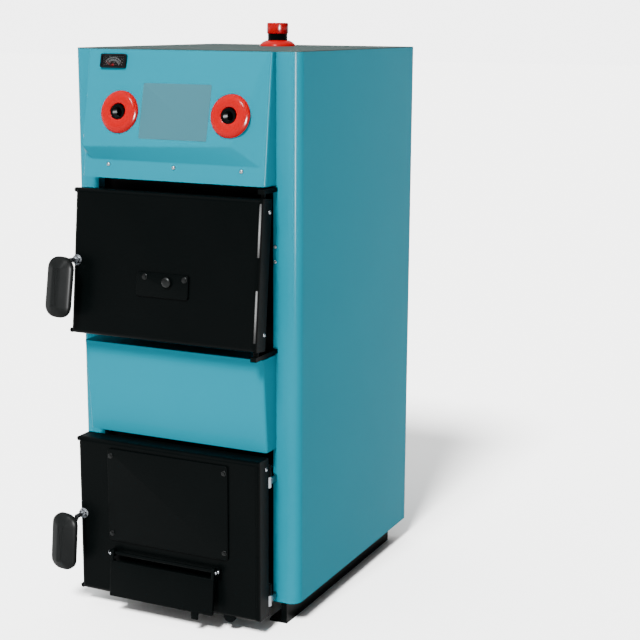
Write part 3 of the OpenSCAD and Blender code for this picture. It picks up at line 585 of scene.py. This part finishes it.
def socket_threads():
    """Thread crests in both front sockets."""
    ring = thread(**SOCKET_THREAD)
    ring += [(SOCKET_THREAD_BACK, ring[-1][1]), (SOCKET_THREAD_BACK, ring[0][1]), ring[0]]
    front = COLUMN_Y - hood_out(SOCKET_Z) - SOCKET_OUT
    for name, x in zip(("left_socket_thread", "right_socket_thread"), SOCKETS):
        bm = bmesh.new()
        turned(bm, ring, shift(x, front, SOCKET_Z) @ FACING, 48)
        piece(name, bm, STOVE_BLACK, sharp=20)


# Thermometer

GAUGE_X, GAUGE_DOWN = -158, 25.5
GAUGE_W, GAUGE_H, GAUGE_THICK = 66, 31, 6
BORDER, WELL = 3.6, 3.4
CASE_X, CASE_Z, CASE_DEEP = 28.9, 11.4, 33.9
DIAL_W, DIAL_H, DIAL_OUT = 58, 23, 2.7
WINDOW_W, WINDOW_H, WINDOW_OUT = 58.4, 23.4, 4.3
# The print stands on an arc round a hub below the dial
PRINT_OUT, PRINT_THICK, HUB_DOWN = 3.15, 0.06, 15
ARC_START, ARC_STEP, MARKS, MARKS_A_NUMBER = -54, 4.5, 25, 4
MARK_R, MARK_HALF, LONG_MARK, SHORT_MARK = 24, 0.35, 3.6, 2.2
NUMBER_R, NUMBER_H, NUMBER_STEP, STROKE_HALF = 15.6, 3.2, 20, 0.2
NEEDLE_TURN = -52

# Strokes of the figures on a field 2 wide and 4 high
FIGURES = {
    "0": ((0, 0, 2, 0), (2, 0, 2, 4), (2, 4, 0, 4), (0, 4, 0, 0)),
    "1": ((1, 0, 1, 4),),
    "2": ((0, 4, 2, 4), (2, 4, 2, 2), (2, 2, 0, 2), (0, 2, 0, 0), (0, 0, 2, 0)),
    "4": ((0, 4, 0, 2), (0, 2, 2, 2), (2, 4, 2, 0)),
    "6": ((2, 4, 0, 4), (0, 4, 0, 0), (0, 0, 2, 0), (2, 0, 2, 2), (2, 2, 0, 2)),
    "8": ((0, 0, 2, 0), (2, 0, 2, 4), (2, 4, 0, 4), (0, 4, 0, 0), (0, 2, 2, 2)),
}


def digits(bm, number, place):
    """Printed number, its middle over the place."""
    unit = NUMBER_H / 4
    pitch = 3 * unit
    left = -(len(number) * pitch - unit) / 2
    for n, figure in enumerate(number):
        for x0, z0, x1, z1 in FIGURES[figure]:
            x = left + n * pitch
            low = (x + min(x0, x1) * unit - STROKE_HALF, -PRINT_THICK, min(z0, z1) * unit - STROKE_HALF)
            high = (x + max(x0, x1) * unit + STROKE_HALF, 0, max(z0, z1) * unit + STROKE_HALF)
            block(bm, low, high, place)


def thermometer():
    """Black bezel with a printed dial, a needle and a clear window."""
    gauge = on_hood(GAUGE_X, PANEL_TOP - GAUGE_DOWN)

    def corner(w, h, out):
        return gauge @ shift(-w / 2, -out, -h / 2)

    bm = bmesh.new()
    rounded_plate(bm, GAUGE_W, GAUGE_H, GAUGE_THICK, corner=3.5, edge=1.2, place=corner(GAUGE_W, GAUGE_H, 0),
                  border=BORDER, well=WELL)
    block(bm, (-CASE_X, 0, -CASE_Z), (CASE_X, CASE_DEEP, CASE_Z), gauge, 1.0)
    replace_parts(piece("thermometer_bezel", bm, BEZEL_BLACK), "thermometer_case")

    bm = bmesh.new()
    rounded_plate(bm, DIAL_W, DIAL_H, thick=0.4, corner=1.5, edge=0.1, place=corner(DIAL_W, DIAL_H, DIAL_OUT))
    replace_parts(piece("thermometer_dial", bm, DIAL_BLACK), "thermometer_face")

    hub = gauge @ shift(0, -PRINT_OUT, -HUB_DOWN)
    bm = bmesh.new()
    for i in range(MARKS):
        spoke = hub @ turn(ARC_START + ARC_STEP * i, "Y")
        long = SHORT_MARK if i % MARKS_A_NUMBER else LONG_MARK
        block(bm, (-MARK_HALF, -PRINT_THICK, MARK_R - long), (MARK_HALF, 0, MARK_R), spoke)
    for i in range(0, MARKS, MARKS_A_NUMBER):
        spoke = hub @ turn(ARC_START + ARC_STEP * i, "Y")
        digits(bm, str(NUMBER_STEP * i // MARKS_A_NUMBER), spoke @ shift(0, 0, NUMBER_R))
    piece("dial_marks", bm, DIAL_WHITE)

    bm = bmesh.new()
    block(bm, (-0.5, -0.5, 4), (0.5, -0.2, 22.5), hub @ turn(NEEDLE_TURN, "Y"), 0.1, 1)
    turned(bm, [(0, 1.2), (3, 1.2), (3.6, 0.7), (3.6, 0), (0, 0)], hub @ shift(0, 0, 5) @ FACING, 32)
    piece("dial_needle", bm, DIAL_RED)

    bm = bmesh.new()
    rounded_plate(bm, WINDOW_W, WINDOW_H, thick=0.8, corner=1.5, edge=0.2,
                  place=corner(WINDOW_W, WINDOW_H, WINDOW_OUT))
    piece("thermometer_window", bm, WINDOW)


# Doors

SPINDLE_X = -223
FUEL_SPINDLE_Z, ASH_SPINDLE_Z = 165, 187
GRIP_W, GRIP_L, GRIP_CORNER = 65, 137, 27
GRIP_BACK, GRIP_WALL, GRIP_OUT, GRIP_UP = 6.5, 5.5, 30, 8
# Steps of (inward, outward) that round the grip's front, with its ridge, and its back
GRIP_FRONT = (
    (0.7, 3), (1.9, 2.6), (3.2, 2.4), (4.2, 2.4), (5, 2.6), (4.5, 2.4), (3, 1.5), (2.5, 0.8), (2.5, 0.3),
)
GRIP_REAR = ((0.4, 3.1), (1.8, 2.4), (3.8, 1.0))
PLATE_THICK = 5
AIR_KNOB = [
    (0, 4.5), (5.5, 4.5), (5.5, 7.5), (6.5, 9), (10, 9.6), (11, 10.8), (11, 12.2), (9.6, 13.8),
    (6, 14.8), (0, 15),
]
SIDE_SCREW_D = 9


def grips():
    """Moulded grips: rounded, with a ridge down the middle and slanting flanks."""
    top = GRIP_W / 2
    for name, door, body, z, off, lean in (
            ("fuel_door_grip", FUEL_DOOR, "fuel_door_handle", FUEL_SPINDLE_Z, 15, 3),
            ("ash_door_grip", ASH_DOOR, "ash_door_handle", ASH_SPINDLE_Z, 25, 4.5)):
        bm = bmesh.new()
        back = oblong(bm, GRIP_W, top - GRIP_L, top, GRIP_CORNER, GRIP_BACK)
        face = thicken(bm, back, GRIP_WALL)
        for side, steps in ((face, GRIP_FRONT), (back, GRIP_REAR)):
            for inward, rise in steps:
                bmesh.ops.inset_region(bm, faces=[side], thickness=inward, depth=rise, use_even_offset=True)
        place = door @ shift(SPINDLE_X - off, -GRIP_OUT, z + GRIP_UP - top) @ turn(lean, "Y") @ FACING
        bmesh.ops.transform(bm, matrix=place, verts=bm.verts[:])
        grip = piece("moulded_" + name, bm, GRIP_PLASTIC, body, sharp=28, flat_over=2000)
        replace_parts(grip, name)

        bm = bmesh.new()
        hex_screw(bm, door @ shift(SPINDLE_X, -0.4, z) @ FACING, across=17, height=8, flange=24)
        piece(name.replace("grip", "spindle_nut"), bm, ZINC, body)


def fuel_door_fittings():
    """Secondary air plate with its knob and two bolts, and the screws on the door's side."""
    bm = bmesh.new()
    rounded_plate(bm, 131, 53, PLATE_THICK, corner=6, edge=1.6, place=FUEL_DOOR @ shift(-63.5, 0, 99))
    plate = piece("eased_secondary_air_plate", bm, STOVE_BLACK, "fuel_door")
    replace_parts(plate, "secondary_air_plate")

    bm = bmesh.new()
    turned(bm, AIR_KNOB, FUEL_DOOR @ shift(16, 0, 134) @ FACING, 48)
    for x in (-42, 58):
        bolt = FUEL_DOOR @ shift(x, -PLATE_THICK, 142) @ FACING
        hex_screw(bm, bolt, across=9, height=4, flange=13)
    piece("secondary_air_knob_and_bolts", bm, PHOSPHATE, "fuel_door")

    bm = bmesh.new()
    for y, z in ((39, 299), (40, 36)):
        dome_screw(bm, FUEL_DOOR @ shift(DOOR_X, y, z) @ SIDING, SIDE_SCREW_D)
    piece("fuel_door_side_screws", bm, ZINC, "fuel_door")


def ash_door_fittings():
    """Bolted cover plate, and the screw on the door's side."""
    bm = bmesh.new()
    rounded_plate(bm, 312, 219, PLATE_THICK, corner=7, edge=1.8, place=ASH_DOOR @ shift(-152, 0, 135))
    plate = piece("eased_cover_plate", bm, STOVE_BLACK, "ash_door")
    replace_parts(plate, "ash_door_cover_plate")

    bm = bmesh.new()
    for x in (-143, 151):
        for z in (152, 337):
            bolt = ASH_DOOR @ shift(x, -PLATE_THICK, z) @ FACING
            hex_screw(bm, bolt, across=8, height=4, flange=12)
    piece("cover_plate_bolts", bm, PHOSPHATE, "ash_door")

    bm = bmesh.new()
    dome_screw(bm, ASH_DOOR @ shift(DOOR_X, 37, 346) @ SIDING, SIDE_SCREW_D)
    piece("ash_door_side_screw", bm, ZINC, "ash_door")


# Air flap: a point of its rod on the ash door, and lengths from that point
ROD_AT, ROD_R, FLAP_LEAN = (-137.5, -14, 109.5), 4, -6
ROD_START, ROD_END = -7, 279
FLAP_LEFT, FLAP_RIGHT, FLAP_LOW, FLAP_HIGH = 1, 271, -100.5, -16.5
FLAP_FRONT, FLAP_BACK = -8, -4
EAR_W, EAR_TOP_Y, EAR_LOW_Y, EAR_SPLIT_Z = 4, 8.2, -0.6, -60
STRAP_W = 7
KNUCKLE = [(4.2, 0), (7.4, 0), (8, 0.6), (8, 6.4), (7.4, 7), (4.2, 7), (4.2, 0)]
ROD_PIN = [(0, 2.6), (2.6, 2.4), (4.2, 1.4), (4.6, 0), (0, 0)]


def air_flap():
    """Folded flap with tapered ears, its painted rod and the rod's bright end pins."""
    rod = ASH_DOOR @ shift(*ROD_AT)
    flap = rod @ turn(FLAP_LEAN, "X")
    bm = bmesh.new()
    block(bm, (FLAP_LEFT, FLAP_FRONT, FLAP_LOW), (FLAP_RIGHT, FLAP_BACK, FLAP_HIGH), flap, 1.4)
    for x in (FLAP_LEFT, FLAP_RIGHT - EAR_W):
        before = set(bm.verts)
        block(bm, (x, -7, FLAP_LOW + 0.5), (x + EAR_W, 7, FLAP_HIGH - 0.5), edge=1.0)
        for v in fresh_verts(bm, before):
            if v.co.y > 0:
                v.co.y = (EAR_TOP_Y if v.co.z > EAR_SPLIT_Z else EAR_LOW_Y) - (7 - v.co.y)
        bmesh.ops.transform(bm, matrix=flap, verts=fresh_verts(bm, before))
    for x in (FLAP_LEFT, FLAP_RIGHT - STRAP_W):
        block(bm, (x, FLAP_FRONT, -20), (x + STRAP_W, FLAP_BACK, -2), flap, 0.8)
        turned(bm, KNUCKLE, flap @ shift(x, 0, 0) @ SIDING, 40)
    block(bm, (217, FLAP_FRONT, -116.5), (235, FLAP_BACK, -99), flap, 1.4)
    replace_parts(piece("folded_air_flap", bm, STOVE_BLACK, "air_flap"), "air_flap")

    bm = bmesh.new()
    turned(bm, [(0, ROD_START), (ROD_R, ROD_START), (ROD_R, ROD_END), (0, ROD_END)], rod @ SIDING, 32)
    for x in (ROD_START, ROD_END - STRAP_W):
        block(bm, (x, -4, -8), (x + STRAP_W, 14, 4), rod, 1.2)
    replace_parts(piece("flap_rod_and_lugs", bm, STOVE_BLACK, "ash_door"), "flap_pivot")

    bm = bmesh.new()
    for x, side in ((ROD_START, -90), (ROD_END, 90)):
        turned(bm, ROD_PIN, rod @ shift(x, 0, 0) @ turn(side, "Y"), 32)
    for x in (ROD_START + STRAP_W / 2, ROD_END - STRAP_W / 2 - 2):
        dome_screw(bm, rod @ shift(x, -4, -2) @ FACING, d=6.5)
    piece("flap_rod_pins", bm, ZINC, "ash_door")


# Each strip's lower and upper end, up from the door's foot
FUEL_STRIPS, ASH_STRIPS = ((20.5, 133.5), (203, 317)), ((36, 153), (223, 360))
ASH_TOP_LUG, ASH_LOW_LUG = 297.0, 18.0
LUG_IN, LUG_BACK = 6.5, 60
LUG_AND_PIN = [(0, 0), (6.2, 0), (7, 0.8), (7, 25.2), (6.2, 26), (4.5, 26), (4.5, 51.5), (3.2, 53), (0, 53)]
# The rope's width over its centre line, its thickness, its back and the easing of its edges
ROPE_W, ROPE_D, ROPE_BACK, ROPE_EASE = 342, 9, 28.5, 4.2
LINING_BACK = 25


def edge_strips():
    """Flat strips along each door's rounded right edge."""
    for door, body, spans in ((FUEL_DOOR, "fuel_door", FUEL_STRIPS), (ASH_DOOR, "ash_door", ASH_STRIPS)):
        bm = bmesh.new()
        corner = door @ shift(DOOR_X - 3.6, 2.3, 0) @ turn(40, "Z")
        for low, high in spans:
            block(bm, (-3.0, -1.0, low), (3.0, 1.6, high), corner, 0.5)
        piece(body + "_edge_strips", bm, STOVE_BLACK, body)


def ash_door_hinges():
    """Plated lugs with an upright pin for the door's knuckles, and two screws on the column."""
    for name, z in (("ash_door_top_hinge", ASH_TOP_LUG), ("ash_door_low_hinge", ASH_LOW_LUG)):
        bm = bmesh.new()
        axis = ASH_DOOR @ shift(DOOR_X - LUG_IN, LUG_BACK, z)
        turned(bm, LUG_AND_PIN, axis, 40)
        block(bm, (-3, 5, 6), (3, 35, 20), axis, 0.8)
        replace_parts(piece("plated_" + name, bm, ZINC), name)

    bm = bmesh.new()
    for z in (836, 869):
        dome_screw(bm, shift(227, COLUMN_Y, z) @ FACING, d=8)
    piece("column_screws", bm, ZINC)


def door_seals():
    """Rope let into each lining, round the door frame's edge, and the lining's screws."""
    for name, door, body, low, high in (("fuel_door_seal", FUEL_DOOR, "fuel_door", 42, 287),
                                        ("ash_door_seal", ASH_DOOR, "ash_door", 59, 316)):
        bm = bmesh.new()
        inner = oblong(bm, ROPE_W + ROPE_D, low - ROPE_D / 2, high + ROPE_D / 2, 16, -ROPE_BACK)
        ring = bmesh.ops.inset_region(
            bm, faces=[inner], thickness=ROPE_D, use_boundary=True, use_even_offset=True)["faces"]
        bmesh.ops.delete(bm, geom=[inner], context="FACES")
        top = bmesh.ops.extrude_face_region(bm, geom=ring, use_keep_orig=True)["geom"]
        bmesh.ops.translate(bm, vec=(0, 0, ROPE_D), verts=only(bmesh.types.BMVert, top))
        rope_edges = [e for e in bm.edges if len({round(v.co.z, 2) for v in e.verts}) == 1
                      and len(e.link_faces) == 2 and e.calc_face_angle(0) > 1.2]
        soften(bm, rope_edges, ROPE_EASE, 4)
        bmesh.ops.transform(bm, matrix=door @ FACING, verts=bm.verts[:])
        piece(name, bm, ROPE, body)

        bm = bmesh.new()
        middle = (low + high) / 2
        for x in (-105, 105):
            for z in (middle - 70, middle + 70):
                hex_screw(bm, door @ shift(x, LINING_BACK, z) @ BACKING, across=10, height=5, flange=30)
        piece(name.replace("seal", "lining_screws"), bm, ZINC, body)


# Back

SCREW_XS, SCREW_ROWS, SCREW_ZS = (-262, -90, 90, 262), (66, 1268), (300, 540, 780, 1020)
REAR_SCREW_D = 9
# Thread, bead and foot as lengths out from the casing's rear edge, and each pipe's outer radius
PIPE_END, PIPE_PITCH, PIPE_TURNS = 44.4, 2.3, 11
RETURN_R, DRAIN_R = 24.15, 13.5
FLUE_BEAD = [(79.9, 52), (82.2, 53), (83, 55), (82.2, 57), (79.9, 58), (79.9, 52)]
FLUE_FOOT = [(79.9, 7), (83, 6), (85.2, 3.4), (86, 0.3), (79.9, 0.3), (79.9, 7)]


def on_back(x, z):
    return shift(x, REAR_Y, z) @ BACKING


def back_details():
    """Screws of the rear panel and the beaded and threaded ends of the pipes."""
    bm = bmesh.new()
    for x in SCREW_XS:
        for z in SCREW_ROWS:
            dome_screw(bm, on_back(x, z), REAR_SCREW_D)
    for x in (SCREW_XS[0], SCREW_XS[-1]):
        for z in SCREW_ZS:
            dome_screw(bm, on_back(x, z), REAR_SCREW_D)
    piece("rear_panel_screws", bm, ZINC)

    bm = bmesh.new()
    for r, mount in ((RETURN_R, "return_pipe"), (DRAIN_R, "drain_socket")):
        root, core, foot = r + 0.02, r - 0.1, PIPE_END - PIPE_PITCH * PIPE_TURNS
        ring = thread(root, r + 1.1, PIPE_END, PIPE_PITCH, PIPE_TURNS)
        ring += [(root, foot), (core, foot), (core, PIPE_END), ring[0]]
        turned(bm, ring, on_back(MOUNTS[mount][0], MOUNTS[mount][2]), 64)
    for outline in (FLUE_BEAD, FLUE_FOOT):
        turned(bm, outline, on_back(MOUNTS["flue_collar"][0], MOUNTS["flue_collar"][2]), 96)
    piece("pipe_ends", bm, STOVE_BLACK, sharp=20)


# Studio

# The dome's strength from its left to its right side, and the pale band's at the horizon
DOME_LEFT, DOME_RIGHT, HORIZON = 3.5, 0.05, 4.9
# The dome's share of that strength at heights from 0 to 1
DOME_SHARES = ((0.0, 1.0), (0.07, 1.0), (0.15, 0.1), (0.95, 1.0))
SUN_WAY, SUN_STRENGTH, SUN_ANGLE = (-0.04, 0.66, -0.75), 16.0, 14
STRIP_AT, STRIP_TO = (3.5, -3.0, 1.05), (0.26, -0.3, 1.0)
STRIP_W, STRIP_H, STRIP_WATTS = 0.3, 1.5, 8000
GLINT_SOLIDS = ("right_side_panel", "left_side_panel")
GLINT_PIECES = (
    "pressed_control_panel", "domed_left_rosette", "domed_right_rosette", "pressed_flow_cap",
    "left_socket_thread", "right_socket_thread", "fuel_door_edge_strips",
    "moulded_fuel_door_grip", "moulded_ash_door_grip",
)


def lay_floor():
    bm = bmesh.new()
    bmesh.ops.create_grid(bm, x_segments=1, y_segments=1, size=40)
    mesh = bpy.data.meshes.new("floor")
    bm.to_mesh(mesh)
    bm.free()
    floor = bpy.data.objects.new("floor", mesh)
    bpy.context.collection.objects.link(floor)
    finish = new_finish(
        "floor, pale matt", Base_Color=linear("#fafaf9"), Roughness=0.9, Specular_IOR_Level=0.0)[0]
    mesh.materials.append(finish)


def light_dome():
    """Bright from above and from the front left, darker towards the casing's right side;
    a thin band at the horizon is as pale as the floor."""
    world = bpy.data.worlds.new("studio")
    world.use_nodes = True
    tree = world.node_tree
    way = add(tree, "ShaderNodeTexCoord").outputs["Generated"]
    axes = add(tree, "ShaderNodeSeparateXYZ", {"Vector": way}).outputs
    height = add(tree, "ShaderNodeValToRGB", {"Fac": axes["Z"]})
    stops = height.color_ramp.elements
    stops[-1].position = DOME_SHARES[-1][0]
    for place, _ in DOME_SHARES[1:-1]:
        stops.new(place)
    for stop, (_, share) in zip(stops, DOME_SHARES):
        stop.color = (share, share, share, 1)
    shade = add(tree, "ShaderNodeMapRange", {
        "Value": axes["X"], "From Min": -0.3, "From Max": 0.55, "To Min": DOME_LEFT, "To Max": DOME_RIGHT})
    band = add(tree, "ShaderNodeMapRange", {
        "Value": axes["Z"], "From Min": 0.02, "From Max": 0.05, "To Min": HORIZON, "To Max": 0.0})
    dome = add(tree, "ShaderNodeMath", {0: shade.outputs["Result"], 1: height.outputs["Color"]},
               operation="MULTIPLY")
    level = add(tree, "ShaderNodeMath", {0: dome.outputs["Value"], 1: band.outputs["Result"]},
                operation="MAXIMUM")
    sky = tree.nodes["Background"]
    sky.inputs["Color"].default_value = linear("#fdfdfd")
    tree.links.new(level.outputs["Value"], sky.inputs["Strength"])
    bpy.context.scene.world = world


def place_lamp(light, way):
    lamp = bpy.data.objects.new(light.name, light)
    bpy.context.collection.objects.link(lamp)
    lamp.rotation_euler = Vector(way).to_track_quat("-Z", "Y").to_euler()
    return lamp


def lamps():
    sun = bpy.data.lights.new("key_window", "SUN")
    sun.energy = SUN_STRENGTH
    sun.angle = math.radians(SUN_ANGLE)
    place_lamp(sun, SUN_WAY)

    # Tall strip to the right of the camera: only its glint on the rounded edges is wanted
    strip = bpy.data.lights.new("side_strip", "AREA")
    strip.shape = "RECTANGLE"
    strip.size, strip.size_y = STRIP_W, STRIP_H
    strip.energy = STRIP_WATTS
    lamp = place_lamp(strip, Vector(STRIP_TO) - Vector(STRIP_AT))
    lamp.location = STRIP_AT
    lamp.visible_diffuse = False
    edges = bpy.data.collections.new("rounded_edges")
    for name in GLINT_SOLIDS:
        edges.objects.link(frame["nodes"][name])
    for name in GLINT_PIECES:
        edges.objects.link(bpy.data.objects[name])
    lamp.light_linking.receiver_collection = edges


# Start of the scene

place_camera()
paint_solids()
control_panel()
rosettes()
socket_threads()
thermometer()
grips()
fuel_door_fittings()
ash_door_fittings()
air_flap()
edge_strips()
ash_door_hinges()
door_seals()
back_details()
lay_floor()
light_dome()
lamps()
